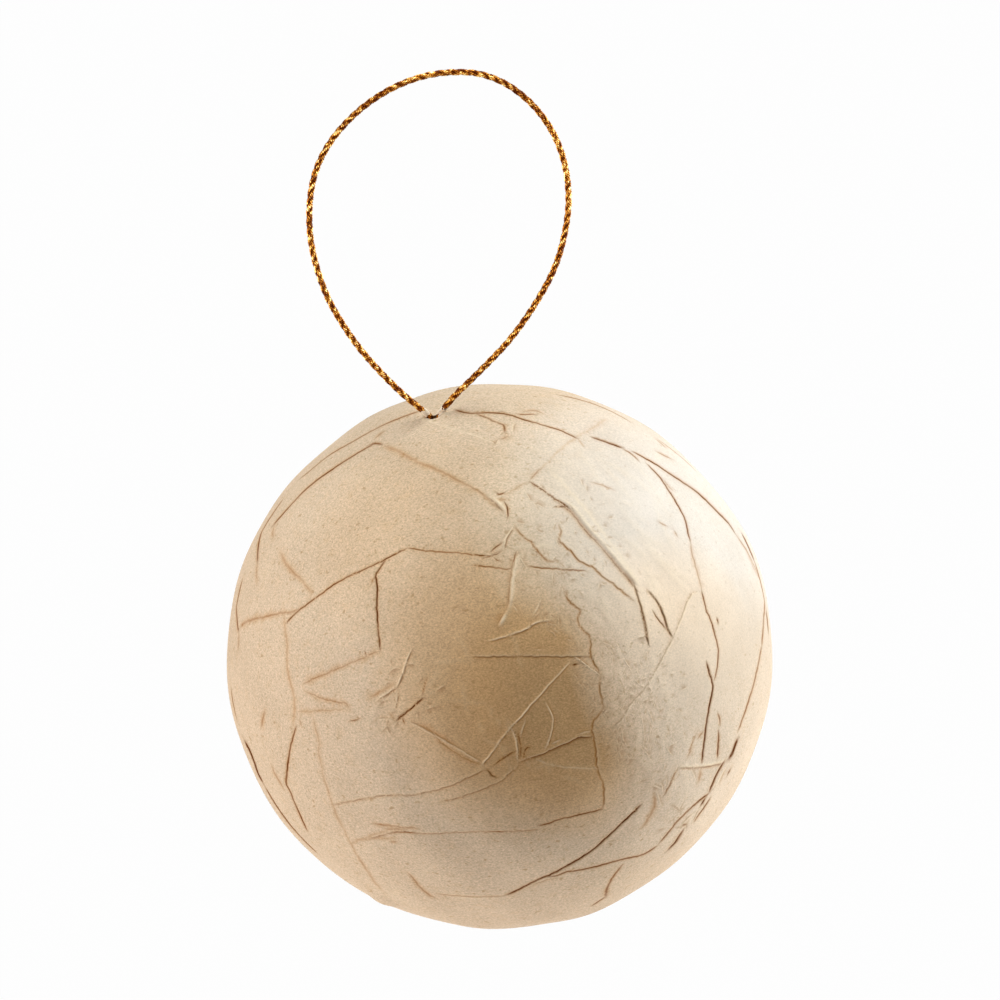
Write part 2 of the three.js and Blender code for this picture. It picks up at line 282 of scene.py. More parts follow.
def new_material(name, roughness, metallic):
    material = bpy.data.materials.new(name)
    material.use_nodes = True
    tree = material.node_tree
    shader = tree.nodes["Principled BSDF"]
    shader.inputs["Roughness"].default_value = roughness
    shader.inputs["Metallic"].default_value = metallic
    return material, tree, shader


def attribute_node(tree, name, output="Fac"):
    return add_node(tree, "ShaderNodeAttribute", attribute_name=name).outputs[output]


def noise_node(tree, place, scale, detail, distortion=0.0):
    inputs = {"Vector": place, "Scale": scale, "Detail": detail, "Distortion": distortion}
    inputs["Roughness"] = NOISE_ROUGHNESS
    return add_node(tree, "ShaderNodeTexNoise", inputs).outputs["Fac"]


def mix_colour(tree, factor, below, above, blend="MIX"):
    inputs = {0: factor, 6: below, 7: above}
    return add_node(tree, "ShaderNodeMix", inputs, data_type="RGBA", blend_type=blend).outputs[2]


def colour_ramp(tree, factor, stops):
    """A colour ramp with the given (place, linear colour) stops."""
    ramp = add_node(tree, "ShaderNodeValToRGB", {"Fac": factor})
    elements = ramp.color_ramp.elements
    while len(elements) < len(stops):
        elements.new(1.0)
    for element, (position, colour) in zip(elements, stops):
        element.position = position
        element.color = (*colour, 1)
    return ramp.outputs["Color"]


# %% Gold foil material
# from dark brown painted shade in the grooves through orange gold to a pale yellow painted highlight
GOLD_SHADE_TO_HIGHLIGHT = [
    (0.0, (0.07, 0.012, 0.001)),
    (0.3, (0.20, 0.050, 0.003)),
    (0.55, (0.48, 0.17, 0.018)),
    (0.78, (0.84, 0.44, 0.085)),
    (1.0, (1.0, 0.84, 0.36)),
]
GOLD_ROUGHNESS = 0.32
GOLD_FLECKS = 1700
# tones on the ramp: flecks and crests as a factor and what is added, ribs as a factor; crests and
# ribs paint highlight outside and shade in the grooves
FLECK_TONE = (3.0, -1.34)
CREST_HIGHLIGHT_AND_SHADE = (2.0, -1.68)
RIB_HIGHLIGHT_AND_SHADE = 0.16
KNOT_TONE = 0.1
GLUE_FILM = (0.88, 0.70, 0.52, 1)
GLUE_DULLS = 0.4
GLUE_RAGGED = 0.8
# film of paste: middle along the cord and half length, in mm
GLUE_SPOTS = [(4.7, 0.45), (cord_length - 4.6, 0.7)]


def glue_film(tree, fleck):
    """One where a film of paste covers the cord, just above the slot at both ends."""
    along = math_node(tree, "SUBTRACT", attribute_node(tree, "along"), GLUE_RAGGED * MM)
    ragged = math_node(tree, "MULTIPLY_ADD", fleck, 2 * GLUE_RAGGED * MM, along)
    ends = [math_node(tree, "COMPARE", ragged, at * MM, half * MM) for at, half in GLUE_SPOTS]
    return math_node(tree, "MAXIMUM", *ends)


def gold_foil(name, twisted):
    material, tree, shader = new_material(name, GOLD_ROUGHNESS, 1.0)
    place = add_node(tree, "ShaderNodeTexCoord").outputs["Object"]
    fleck = noise_node(tree, place, GOLD_FLECKS, 2)
    tone = KNOT_TONE
    if twisted:
        # painted highlight on the outer crests and ribs, painted shade in the grooves
        crest = math_node(tree, "MULTIPLY_ADD", attribute_node(tree, "crest"), *CREST_HIGHLIGHT_AND_SHADE)
        tone = math_node(tree, "MULTIPLY_ADD", attribute_node(tree, "rib"), RIB_HIGHLIGHT_AND_SHADE, crest)
    uneven = math_node(tree, "MULTIPLY_ADD", fleck, *FLECK_TONE)
    colour = colour_ramp(tree, math_node(tree, "ADD", uneven, tone), GOLD_SHADE_TO_HIGHLIGHT)
    if twisted:
        film = glue_film(tree, fleck)
        colour = mix_colour(tree, film, colour, GLUE_FILM)
        dull = math_node(tree, "MULTIPLY_ADD", film, GLUE_DULLS, GOLD_ROUGHNESS)
        tree.links.new(math_node(tree, "SUBTRACT", 1.0, film), shader.inputs["Metallic"])
        tree.links.new(dull, shader.inputs["Roughness"])
    tree.links.new(colour, shader.inputs["Base Color"])
    return material


gold_cord = gold_foil("gold_cord_foil", twisted=True)
print("gold finish:", gold_cord.name)


# %% Make the cord
def node_piece(name, source, tree, sizes, finish):
    """Run a tree on a mesh and keep the result as a plain mesh object at the origin."""
    obj = bpy.data.objects.new(name, source)
    scene.collection.objects.link(obj)
    modifier = obj.modifiers.new("nodes", "NODES")
    modifier.node_group = tree
    sockets = {i.name: i.identifier for i in tree.interface.items_tree if i.in_out == "INPUT"}
    for key, value in sizes.items():
        modifier[sockets[key]] = value
    modifier[sockets["Finish"]] = finish
    ready = obj.evaluated_get(bpy.context.evaluated_depsgraph_get())
    made = bpy.data.meshes.new_from_object(ready)
    obj.modifiers.clear()
    obj.data = made
    return obj


route_mesh = bpy.data.meshes.new("cord_route")
route_mesh.from_pydata(cord_line * MM, [(i, i + 1) for i in range(len(cord_line) - 1)], [])
cord = node_piece("gold_cord", route_mesh, cord_tree(), CORD_SIZES, gold_cord)
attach(cord, "root")
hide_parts("hanging_cord")
print(f"{cord.name}: {len(cord.data.polygons)} faces, {cord_length:.1f} mm")

# %% [markdown]
# ## Light and floor
# The picture has a white ground and soft light from the right, the left and above, and little from
# the camera's side, so the ball is brightest along its edge. A glowing sky could be soft too, but
# not from chosen sides, so big area lamps give the light. A weak one behind is for the other views.
# The floor and the sky are white only to the camera and to reflections, so the ground stays white
# without more light on the paper, and the floor keeps part of its own shading for the shadow.

# %% Lamps
# lamp: place in m, width in m, power in W, colour
LAMPS = {
    "right": ((0.90, 0.02, -0.13), 0.8, 10.8, (0.805, 0.92, 1.0)),
    "right_high": ((0.71, 0.24, 0.40), 0.8, 1.8, (0.80, 0.91, 1.0)),
    "right_low": ((0.48, 0.06, -0.85), 0.6, 4.0, (1.0, 0.98, 0.96)),
    "left": ((-0.82, -0.30, -0.27), 0.6, 9.3, (0.92, 0.955, 0.985)),
    "top": ((0.06, 0.03, 0.77), 0.9, 11.1, (0.84, 0.94, 1.0)),
    "back": ((0.0, 0.82, -0.46), 0.8, 3.5, (0.90, 0.96, 1.0)),
}

for name, (spot, size, power, tint) in LAMPS.items():
    lamp = bpy.data.lights.new(f"lamp_{name}", "AREA")
    lamp.shape = "SQUARE"
    lamp.size = size
    lamp.energy = power
    lamp.color = tint
    obj = bpy.data.objects.new(f"lamp_{name}", lamp)
    aim = (BALL_CENTRE * MM - Vector(spot)).to_track_quat("-Z", "Y")
    obj.matrix_world = Matrix.Translation(spot) @ aim.to_matrix().to_4x4()
    obj.visible_camera = False
    scene.collection.objects.link(obj)
print(f"{len(LAMPS)} lamps")

# %% White sky and floor
WHITE = (1, 1, 1, 1)
SKY_LIGHT = 0.02
FLOOR_Z = -1.1
FLOOR_HALF = 8
FLOOR_GREY = (0.8, 0.8, 0.8, 1)
FLOOR_ROUGHNESS = 0.9
FLOOR_GLOW = 0.985


def white_to_the_eye(tree):
    """One for camera, glossy and transmission rays, nought for the light that falls on things."""
    path = add_node(tree, "ShaderNodeLightPath").outputs
    seen = math_node(tree, "MAXIMUM", path["Is Camera Ray"], path["Is Glossy Ray"])
    return math_node(tree, "MAXIMUM", seen, path["Is Transmission Ray"])


world = bpy.data.worlds.new("studio")
world.use_nodes = True
tree = world.node_tree
sky = tree.nodes["Background"]
sky.inputs["Color"].default_value = WHITE
strength = math_node(tree, "MULTIPLY_ADD", white_to_the_eye(tree), 1 - SKY_LIGHT, SKY_LIGHT)
tree.links.new(strength, sky.inputs["Strength"])
scene.world = world

floor_paint, tree, shader = new_material("floor_paint", FLOOR_ROUGHNESS, 0.0)
shader.inputs["Base Color"].default_value = FLOOR_GREY
glow = add_node(tree, "ShaderNodeEmission", {"Color": WHITE, "Strength": 1.0})
share = math_node(tree, "MULTIPLY", white_to_the_eye(tree), FLOOR_GLOW)
blend = add_node(tree, "ShaderNodeMixShader", {0: share, 1: shader.outputs[0], 2: glow.outputs[0]})
tree.links.new(blend.outputs[0], tree.nodes["Material Output"].inputs["Surface"])
floor_corners = [
    (x * FLOOR_HALF, y * FLOOR_HALF, FLOOR_Z) for x, y in ((-1, -1), (1, -1), (1, 1), (-1, 1))
]
floor_mesh = bpy.data.meshes.new("floor")
floor_mesh.from_pydata(floor_corners, [], [(0, 1, 2, 3)])
floor_mesh.materials.append(floor_paint)
floor = bpy.data.objects.new("floor", floor_mesh)
scene.collection.objects.link(floor)
scene.view_settings.view_transform = "Standard"
print(f"floor at {FLOOR_Z} m")

# %% [markdown]
# ## The folds in the paper
# Wet sheets were pasted over each other, so the skin has creases where sheets meet, laps where one
# lies over the next, ridges where the paper was nipped, and stains and smudges where paste soaked a
# seam. They could be sculpted or painted by eye, but a drawing of each fold, point by point over
# the front of the ball, can be read, moved and checked. The drawing's sheet is 1000 by 1000 units,
# as the camera sees it. Each point is written as its distance from the left, a comma and its
# distance from the top. A lap's raised sheet is on the left of its line as drawn.

# %% Deep creases
FOLDS = {}


def draw(kind, rows):
    """Keep the lines of one kind. A row has a line's name and its points, written as x,y."""
    rows = [row.split() for row in rows.strip().splitlines()]
    FOLDS[kind] = {
        name: [tuple(map(float, point.split(","))) for point in points] for name, *points in rows
    }
    print(f"{kind}: {len(rows)}")


draw("deep crease", """
heel_sliver 684,828 681,833 678,838 675,843 668,851
side_bit 731,769 729.5,772 728.5,775
corner_dash 572,664.5 574.5,663.5 577,663
rim_bit 766,611 767.5,618 769,626 770,633
rim_top 744.5,532 751,549 755,560
heel_edge 264,788 269,798 276,808 284,821 297,838 307,850 314,857
waist_drop 387,559 381.5,566.5 376.2,575 377.8,584 377.5,608 379,629 381.3,649
right_drop 705,661 708,673 711.5,685 709.5,700 706.5,718 704.5,735 701,762
hip_slash 425,696 419,701 410,709 403,714 397,719.5
heart_dash 487,767 490,771 492,774 498,776
brow 591.5,436 608,442.5 622,448
right_heel 724,760 716,775 709,792
low_slash 507,894 522,887.5 537,879 552,872.5 570,862.5 590,850 610,832.5 630,814 641,803
heel_dash 706,797 703,801 700,806
""")
draw("thick crease", """
rim_low 737,738 734,745 730,757
rim_blob 731.5,751 730,755 728,758.5
left_heel 246,741 250,749 254,760 258,772 262.5,783
""")

# %% Creases
draw("crease", """
waist_tear 502,542.5 498,545 494.5,547.5 491,551.5
waist_nick 477,554.5 481,555.5 486,555
brow_tuck 504,502 507,507 508,513 507.5,518
left_rim 280,496.5 271,511 264.5,525 261.5,533 259,546 258,562
shoulder_end 370,446 375,444 383.5,445.5
brow_nick 496.5,493 500,494.5 505,492.5
heel_parallel 711,797 707,803 703,809 699,814 694,822
flap_twin 651,610 656,618 665,629
drop_stain 718,729 718.3,740 717,758
left_edge 239,578 236.5,588 235.5,598 236,607 237.5,624 239.5,631
shoulder_left 273,525 280,516 294,500.5 306,489 321,477 338,465 353,456 376,444
crown_right 455.5,410 469,414 487,413.5 505,414.5 526,421 542,425.5 560,430 578,438
shoulder_right 631,451.5 645,459 658,466.5 687,486 700,496.5 712,508.5 727,524 734,535
meridian 646,464 660,478.5 669,492 678,506 685,520 687.5,533 690,542
meridian_low 701,590 705.5,609 709,618 714.5,636 717.2,650 716.2,665 713,680
heel_slant 709,793 700,799.5 691,807 683,815 676,822 671,829 660,842
low_branch 548,876 558,874 567,870.3 582,868 600,863.5 620,858.3 643,854.2 657,846
base_toe 606,897 600,900.5 595,904 592,906
belly_right 538,824 550,821 560,817 572,814.5 585,811.5 595,809.5 602,808
waist_left 287,623 295,614.5 305,605.5 320,594 335,583.5 353,574.5 370,566.8 386,559 408,548
flank_left 297,725 293,738 290.5,750 289,763 287.5,778 287.5,784 291,790 296,803 308,830
fold_head 529,481 536,485.5 544,491 556,499.5 562,503.5 569,509
fold_bar 553,507 560,506.5 567,506.5
heart_stroke 495,763 500,759 505,755.5 510,752 515,750
leg_dash 524,750 527,745.5 530,745
meridian_tick 715.5,617 716.2,620 716.8,623.5
""")

# %% Fine creases
draw("fine crease", """
waist_spot 494.5,557.5 497,559.5 500,560.5
waist_lip 483,558 490,555.5 497,553.5 503,550
column_edge 516,551 514.5,558 513.5,567
rim_middle 755,560 760.5,580 763,599 762,621 760.5,646
rim_left_low 229.5,688 230,700 231.5,710 234,722
waist_stub 367,654.5 366,652 365.5,650
heel_red 681,825 684,824 687,823.5
top_rim 560,391 575,395 590,400 610,408 632,418
crown_left 299,478 310,469.5 321,460.5 334,451 346,444 358,437 370,431 384,425 420,411
crown_tuck 476,414.5 486,418.5 496,423 503,425.5 505,433
crown_bit 516.5,414.5 524,415 537,414
brow_low 622,449 630,454 638.5,462
patch_side 677,766 672,774 669,781 666,788 662,795
base_hook 622,863 617,870 612,877 608,884 606,891 606,897
waist_thin 408,548 415,548.8 430,551 456,552.5 478,555 485,556
waist_right 472,565 490,566.5 505,568.5 513,567
waist_east 528,565.5 544,567.5 560,569 586,571
rim_waist 760.5,646 757.5,665 753,686 745,710 737,731
hip_left 428,676 426,682 424.5,688 423,694
hip_branch 398,687 392,691 387,695.5
hip_hook 403,716 404,720 405.5,723
left_step 350,720 355,719.5 360,718
leg_shade 518,729 519,738 521,746 520,756
leg_drop 524,750 524,754 524,758
belly_dark 390,831 400,829.6 418,830
belly_dark_right 486,829.5 496,830 506,830
drop_echo 717,712 719,717 720,724
""")

# %% Hairlines
draw("hairline", """
base_left 407,871 412,876 421,887 430,894 436,897
left_thread 240.5,625.5 251,620 264,616.5 279,613 298,611
waist_tail 381.3,649 367.5,655.5 350,663 330,671.5 310,680 304,684
left_back 306,690 314,694 322,697 330,699.5 340,701.5 347,702 350.5,709
flank_branch 272.5,764 275,772 279,779 283,786 286,790
flank_thread 266,708 264.5,718 262,728
fold_twig 529,481 533.5,475 543,467
soft_edge 416,722 430,729 442,741 462,755 481,763
soft_twin 418,721 430,728 442,736 460,746
shoulder_nick 375,440 380,435 386,431
crown_upper 522,412 529,410.5 536,410.5 543,413.5
crown_small 500,439.5 506,437.5 510,437
shoulder_tail 734,535 743,549 751,565 759,584
meridian_middle 690,541 691.5,554 697.5,575 701,590
meridian_twin 663,479.5 668,486 673,491
left_edge_tail 239.5,631 239.5,641 239,651
waist_twig 289,614 294,611 300,609
waist_tick 375.5,576 373,580 371.5,583.5
temple_rim 655,436 670,444 686,455 700,466
belly_over 372,822 395,824 420,826
belly_twin 384,827 398,827 410,827.6
belly_low 390,840 394,840 398,839.5
hip_tail 390,711 393,716 395,720
cheek 590,482 601,486 613,490.5
temple 655,438 661,443 666,448.5
temple_low 655,451.5 664,456 672,460
ear 656,521.5 662,525 667,527
ear_low 673,530 675,533 677,537
drop_inner 697,731 692,740 689,750 686,757
drop_spur 703,730 700,734 697,738
waist_chip 481.5,559.5 483,558.5 485,557.5
""")

# %% Laps
draw("lap", """
big_fold_low 633,583 637,598 640,607 644,624 647.5,644
apron_top 519,760.5 528,756.5 540,753 550,748.5 560,744 570,740 577,736.5 592,735
side_flap 646,589 657,603 662.5,615 667,629 672,637
""")
draw("rolled fold", """
big_fold 558,500 574,513 581,523 590,533.5 602,546 612,558 624,572 637,588
""")
draw("torn lap", """
torn_edge 566.5,590 566.8,597 576,606.5 579.5,609 578,621 583,629 590.5,638 590.5,655 596,665 \
600,675
torn_middle 600,675 599.5,688 602,701 604.5,706
torn_tail 604.5,706 599,713 592.5,722 593,735 596,750 596,762 600,775 604,788 603,808
wavy_edge 559,525 561,532 559,540 570,551 578,560 593,568 603,577 615,585.5 632,600
near_fold 515,525 521.5,534.5 532,542 537,550 548,560 556,560
""")
draw("soft lap", """
belly_line 370,837 385,832.5 400,829.7 418,830.3 440,831.3 480,830 525,828.5 540,826.5
base_line 435,892 445,893 460,893.5 480,894 507,894
lower_lap 333,803 352,799.5 370,796 385,793.5 400,793 410,793.5 430,790 450,784 463,778 478,771 \
489,765
apron 440,800 450,798 460,795 480,788 500,780 508,773 514,768.5 519,763
belt 470,656 505,655.5 540,655.5 572,655.8 590,655
slash_echo 520,891 530,886 545,879 560,876
""")
draw("tan lap", """
brow_fold 384,446 400,451.5 420,463 440,471 465,484 480,492 494,505 505,512
left_strip 285.5,612 287,631 289,642 288.5,662 291,680 294.5,692 295.5,711 293,728
left_slope 281,551 289,565 302,579 311,591 310,599
""")

# %% Ridges
draw("broad ridge", """
brow_knuckle 490,496.5 496,501 501,506 506,512
column 519.5,554 515.5,562 513,578 511,600 509.5,608
column_crest 506,613 503,619 500,624.5
""")
# painted highlights along broad crests
draw("pale band", """
fold_crest 548,468 560,481 574,497 590,516 607,540 622,560 634,578
waist_glint 504,550 520,546 540,545.5 558,546
""")
draw("ridge", """
corner_ridge 573,655 580,660 588,666 600,675
long_ridge 568.5,662 560,671.5 550,682 540,693.5 530,704 520,716 511,725 500,739 491,752 481,764
cross_ridge 551,619 537,621.5 526,628 513,633 500,637 489,640
nose_ridge 514,524.5 506,538 503.5,550
leg_ridge 511,726 514,733 516,740 517,750 517.5,760
arc_ridge 546,703 549,708 552,715 552.3,722 550.5,733 547,742 545,747
hip_line 412,649 407.5,660 405,668 401,679 397,687
hip_drop 397.5,689 398,697 396.5,703 395,709
patch_edge 724,760 712,763 702,764.5 690,765 678,765
hip_light 395,687 388,692 380,697 376,700
""")
draw("low ridge", """
hip_slope 408,719.5 425,728.5 445,739.5 463,750 481,761
waist_chip 487,553 493,554.5 500,552 505,549
column_flap 521,559 524.5,564 528,569
column_chip 519,555 523,562 527,568
column_lump 513,604 515,607 517,610
middle_ridge 552,574 551.8,579 551.5,584
small_ridge 541,598 536,609 532.5,615
leg_twin 525,719 522,728 520.5,735
apron_lip 577,733 584,731 592,730
hip_shelf 378,718 386,718 394,718
crown_hook 514,424 512,427 512,432
seam_up 672,639 682,616 690,597 698,592
crown_lump 495,446 497,443 499,440
arc_tail 552,742 556,740 560,738
side_seam 612,727 622,717 632,701 645,688 660,662 673,637
heel_chip 683,824 688,818 695,813
torn_glint 601,715 604,711 607,708
""")
# painted highlights: thin pale edges that catch the light
draw("pale line", """
apron_glint 536,757 550,763 570,766 598,767
right_heel_glint 728,763 720,777 713,793
heel_slant_glint 711,798 696,811.5 682,824.5 668,842
heel_flap 684,820 689,815 695,814 691,820 686,823
base_glint 455,895.5 475,896 500,896
slash_glint 541,881 530,886 520,891
crown_seam 424,418 448,428 476,436 500,446
""")

# %% Stains
draw("stain", """
crown_tail 578,438 581,442 584,447
left_rim_tail 258,560 257,572 257,585
rim_twin 741,545 746,556 752,570 757,580
belly_upper 352,838 372,837 400,836
shoulder_stain 275,523 273,530 273,539
flank_seam 314,717 317,728 320,740 320,752 322,762 325,778 329,790 333,803 339,818 347,832 352,842 \
360,857 368,870 376,883 384,891
flank_bar 297,711 315,710 333,709 350,708
belly_rise 350,842 375,833 400,825
flank_small 300,718 301,722 303,726
fold_left 529,481 517,487 508,493 500,495
side_smudge 726,768 722,777 720,783
""")
draw("smudge", """
brow_smudge 496,500 501,499.5 507,500
hip_stain 395,683 380,691 371,698
patch_stain 653,790 654,800 652,810 645,822 640,828
patch_smudge 700,767 699,775 697,783
""")
draw("faint stain", """
fold_rise 606,419 592,428 576,437 560,450 545,465 529,481
""")

# %% [markdown]
# ## What each kind of fold does to the paper
# Across its line a fold has a section: a crease is a narrow valley with slightly raised shoulders,
# a lap is a step that runs out on its raised side, and a ridge is a narrow crest. Each also paints
# marks on the paper: painted shade as a dark line in its gap, an orange band there that is partly
# paste stain and partly painted shade, and a painted highlight on its raised crest or edge. They
# could be set fold by fold, but with one table of kinds a whole kind is made stronger or softer at
# once.

# %% Sections across a fold
def bell(distance, width):
    return np.exp(-((distance / width) ** 2))


def crease_rise(left):
    return 0.2 * bell(np.abs(left) - 0.24, 0.14) - bell(left, 0.1)


def lap_rise(left):
    return np.where(left > 0, np.exp(-np.maximum(left, 0) / 1.8), -0.4 * bell(left, 0.2))


def rolled_rise(left):
    share = np.clip((left + 0.4) / 0.8, 0, 1)
    return share**2 * (3 - 2 * share) * np.exp(-np.maximum(left - 0.4, 0) / 1.8)


def ridge_rise(left):
    return 0.8 * bell(left, 0.12) + 0.2 * bell(left, 0.45)


def broad_rise(left):
    return bell(left, 0.3)


def wrinkle_rise(left):
    return bell(left, 0.6)


# section: the rise across a fold, and the rows of points beside it, in mm to the left
CREASE = (crease_rise, (0, 0.06, -0.06, 0.12, -0.12, 0.24, -0.24, 0.48, -0.48))
FINE_CREASE = (crease_rise, CREASE[1][:7])
HAIRLINE = (crease_rise, CREASE[1][:5])
LAP = (lap_rise, (0.05, -0.03, 0.16, -0.1, 0.35, -0.19, 0.8, -0.4, 1.6))
ROLLED = (rolled_rise, (0, 0.12, -0.12, 0.25, -0.25, 0.4, -0.33, 0.6, -0.41, 0.9, -0.52, 1.4))
RIDGE = (ridge_rise, (0, 0.07, -0.07, 0.14, -0.14, 0.21, -0.21, 0.3, -0.3, 0.5, -0.5))
LOW_RIDGE = (ridge_rise, RIDGE[1][:9])
FRAY = (ridge_rise, RIDGE[1][:7])
PALE_LINE = (ridge_rise, RIDGE[1][:5])
BROAD = (broad_rise, (0, 0.15, -0.15, 0.3, -0.28, 0.5, -0.38, -0.48))
WRINKLE = (wrinkle_rise, (0, 0.4, -0.4, 0.85, -0.85))
WIDE_MARK = (None, RIDGE[1][:7])
MARK = (None, RIDGE[1][:5])
print(f"{len(CREASE[1])} rows to a crease, {len(LAP[1])} to a lap, {len(RIDGE[1])} to a ridge")

# %% Kinds of fold
# rise, wander and fade in mm; painted shade in the gap and painted highlight on the pale crest as
# strength, place to the left and half width; stain, partly painted shade, as strength and half width
Kind = namedtuple(
    "Kind", "section rows rise wander fade gap stain pale",
    defaults=[(0, 0, 0.1), (0, 0.3), (0, 0, 0.1)],
)
KINDS = {
    "deep crease": Kind(*CREASE, 0.13, 0.03, 0.8, (1.3, 0, 0.12), (0.85, 0.23)),
    "thick crease": Kind(*CREASE, 0.13, 0.03, 0.6, (1.5, 0, 0.2), (0.8, 0.27)),
    "crease": Kind(*CREASE, 0.07, 0.03, 0.8, (1.15, 0, 0.088), (0.85, 0.19)),
    "fine crease": Kind(*FINE_CREASE, 0.04, 0.04, 0.9, (0.85, 0, 0.08), (0.8, 0.17)),
    "hairline": Kind(*HAIRLINE, 0.03, 0.05, 1.2, (0.36, 0, 0.08), (0.65, 0.16)),
    "lap": Kind(*LAP, 0.2, 0.02, 1.0, (0.8, -0.06, 0.1), (0.85, 0.25), (0.35, 0.12, 0.14)),
    "torn lap": Kind(*LAP, 0.06, 0.06, 1.5, (0.45, -0.05, 0.09), (0.95, 0.2), (0.25, 0.2, 0.15)),
    "soft lap": Kind(*LAP, 0.1, 0.05, 1.5, (0.48, -0.05, 0.085), (0.45, 0.2), (0.25, 0.15, 0.15)),
    "tan lap": Kind(*LAP, 0.1, 0.05, 2.0, (0.16, -0.05, 0.1), (0.55, 0.32), (0.1, 0.15, 0.15)),
    "rolled fold": Kind(*ROLLED, 0.26, 0.03, 1.5, (0.7, -0.36, 0.1), (0.6, 0.4), (0.45, 0.5, 0.3)),
    "ridge": Kind(*RIDGE, 0.16, 0.02, 1.0, (0.62, 0.2, 0.07), (0.5, 0.16), (0.65, 0, 0.11)),
    "broad ridge": Kind(*BROAD, 0.24, 0.03, 1.2, (0.6, -0.38, 0.09), (0.5, 0.2), (0.75, 0, 0.24)),
    "low ridge": Kind(*LOW_RIDGE, 0.1, 0.03, 1.0, (0.4, 0.2, 0.07), (0.3, 0.16), (0.5, 0, 0.1)),
    "pale line": Kind(*PALE_LINE, 0.05, 0.04, 1.5, pale=(0.45, 0, 0.1)),
    "pale band": Kind(*WRINKLE, 0.07, 0.06, 2.2, pale=(0.4, 0, 0.35)),
    "wrinkle": Kind(*WRINKLE, 0.08, 0.1, 2.2, pale=(0.12, 0, 0.3)),
    "fray": Kind(*FRAY, 0.075, 0.03, 0.8, (0.36, 0.16, 0.07), (0.32, 0.14), (0.28, 0, 0.1)),
    "smudge": Kind(*WIDE_MARK, 0.0, 0.07, 1.5, (0.2, 0, 0.15), (0.75, 0.26)),
    "faint stain": Kind(*MARK, 0.0, 0.07, 2.0, stain=(0.35, 0.15)),
    "stain": Kind(*MARK, 0.0, 0.07, 2.0, (0.15, 0, 0.08), (0.5, 0.15)),
}
print(f"{len(KINDS)} kinds of fold")

# %% [markdown]
# ## Wrinkles and frays
# Between the folds the wet paper has shrunk into fine wrinkles. They lie close together and share a
# direction where a sheet was pulled, as beside the big fold, and are scattered and faint elsewhere.
# Where the paper was rubbed, small frayed bits stand up and point any way. No one wrinkle or fray
# matters, so they are strewn in zones with a fixed seed instead of being drawn.

# %% Strewn wrinkles and frays
# zone: middle, direction in degrees clockwise from right, reach along and across, count, lengths
WRINKLE_ZONES = [
    ((625, 525), 47, 75, 40, 18, (40, 90)),
    ((560, 590), 60, 55, 38, 18, (10, 28)),
    ((655, 770), 105, 60, 28, 14, (15, 40)),
    ((635, 690), 100, 55, 28, 18, (8, 24)),
    ((400, 690), 130, 38, 26, 12, (10, 24)),
    ((515, 745), 70, 34, 28, 10, (8, 20)),
    ((690, 812), 130, 50, 24, 14, (12, 34)),
    ((410, 815), 0, 60, 26, 10, (20, 48)),
    ((520, 440), 20, 60, 24, 10, (12, 34)),
    ((500, 656), 20, 235, 235, 90, (10, 40)),
]
FRAY_ZONES = [
    ((632, 700), 95, 55, 32, 170, (2, 7)),
    ((598, 640), 70, 60, 10, 24, (4, 10)),
    ((655, 765), 105, 40, 25, 20, (5, 15)),
    ((545, 590), 60, 35, 30, 40, (3, 9)),
    ((570, 540), 45, 60, 35, 50, (3, 10)),
    ((400, 690), 130, 40, 28, 24, (5, 14)),
    ((690, 815), 130, 45, 18, 24, (4, 14)),
]
# spread of the directions in degrees, wider in a zone that covers the whole ball
WRINKLE_SPREAD = 9
FRAY_SPREAD = 45
WHOLE_BALL = 200
WHOLE_SPREAD = 60
BEND = 0.12
STREWN_EDGE = 0.97
dice = np.random.default_rng(7)


def strewn(zones, spread):
    lines = {}
    for number, (middle, degrees, along, across, count, lengths) in enumerate(zones):
        turn = spread if along < WHOLE_BALL else WHOLE_SPREAD
        for i in range(count):
            heading = math.radians(degrees + dice.normal(0, turn))
            ahead = np.array([math.cos(heading), math.sin(heading)])
            aside = np.array([-ahead[1], ahead[0]])
            start = np.array(middle) + ahead * dice.uniform(-along, along)
            start = start + aside * dice.uniform(-across, across)
            half = dice.uniform(*lengths) / 2
            bend = dice.normal(0, BEND) * half
            points = [start - half * ahead, start - half / 3 * ahead + bend * aside]
            points += [start + half / 3 * ahead + bend * aside, start + half * ahead]
            far = np.linalg.norm(np.array(points) - SHEET_CENTRE, axis=1).max()
            if far < STREWN_EDGE * SHEET_RADIUS:
                lines[f"{number}_{i}"] = points
    return lines


FOLDS["wrinkle"] = strewn(WRINKLE_ZONES, WRINKLE_SPREAD)
FOLDS["fray"] = strewn(FRAY_ZONES, FRAY_SPREAD)
print(f"{len(FOLDS['wrinkle'])} wrinkles, {len(FOLDS['fray'])} frayed bits")

# %% [markdown]
# ## From the drawing to the ball
# A point of the drawing is a line of sight, and where that meets the ball is the fold's place.
# Shrinkwrap could find it too, but a ball needs only a short formula. The back can't be seen, so
# the same drawing is turned over and used there again, without the frays and the folds at its
# edge. Each fold becomes stations half a millimetre apart, with the direction to its left. Where
# the ball turns away, a line that looks narrow is wider in truth, so its section is stretched.

# %% Folds on the ball
# side: turn in the drawing's plane, then turn about the ball's sideways axis
FRONT = (0.0, 0.0)
BACK = (math.radians(130), math.pi)
BACK_EDGE = 0.93
DRAWN_EDGE = 0.985
FOLD_STEP = 0.5
# strength of a fold at its ends and what is added further in, then its middle value and swing
END_STRENGTH = (0.3, 0.7)
UNEVEN = (0.82, 0.18)
WIDENS_AT = 0.85
WIDEST = 2.3
TINY = 1e-9
Fold = namedtuple("Fold", "kind place left strength wide")


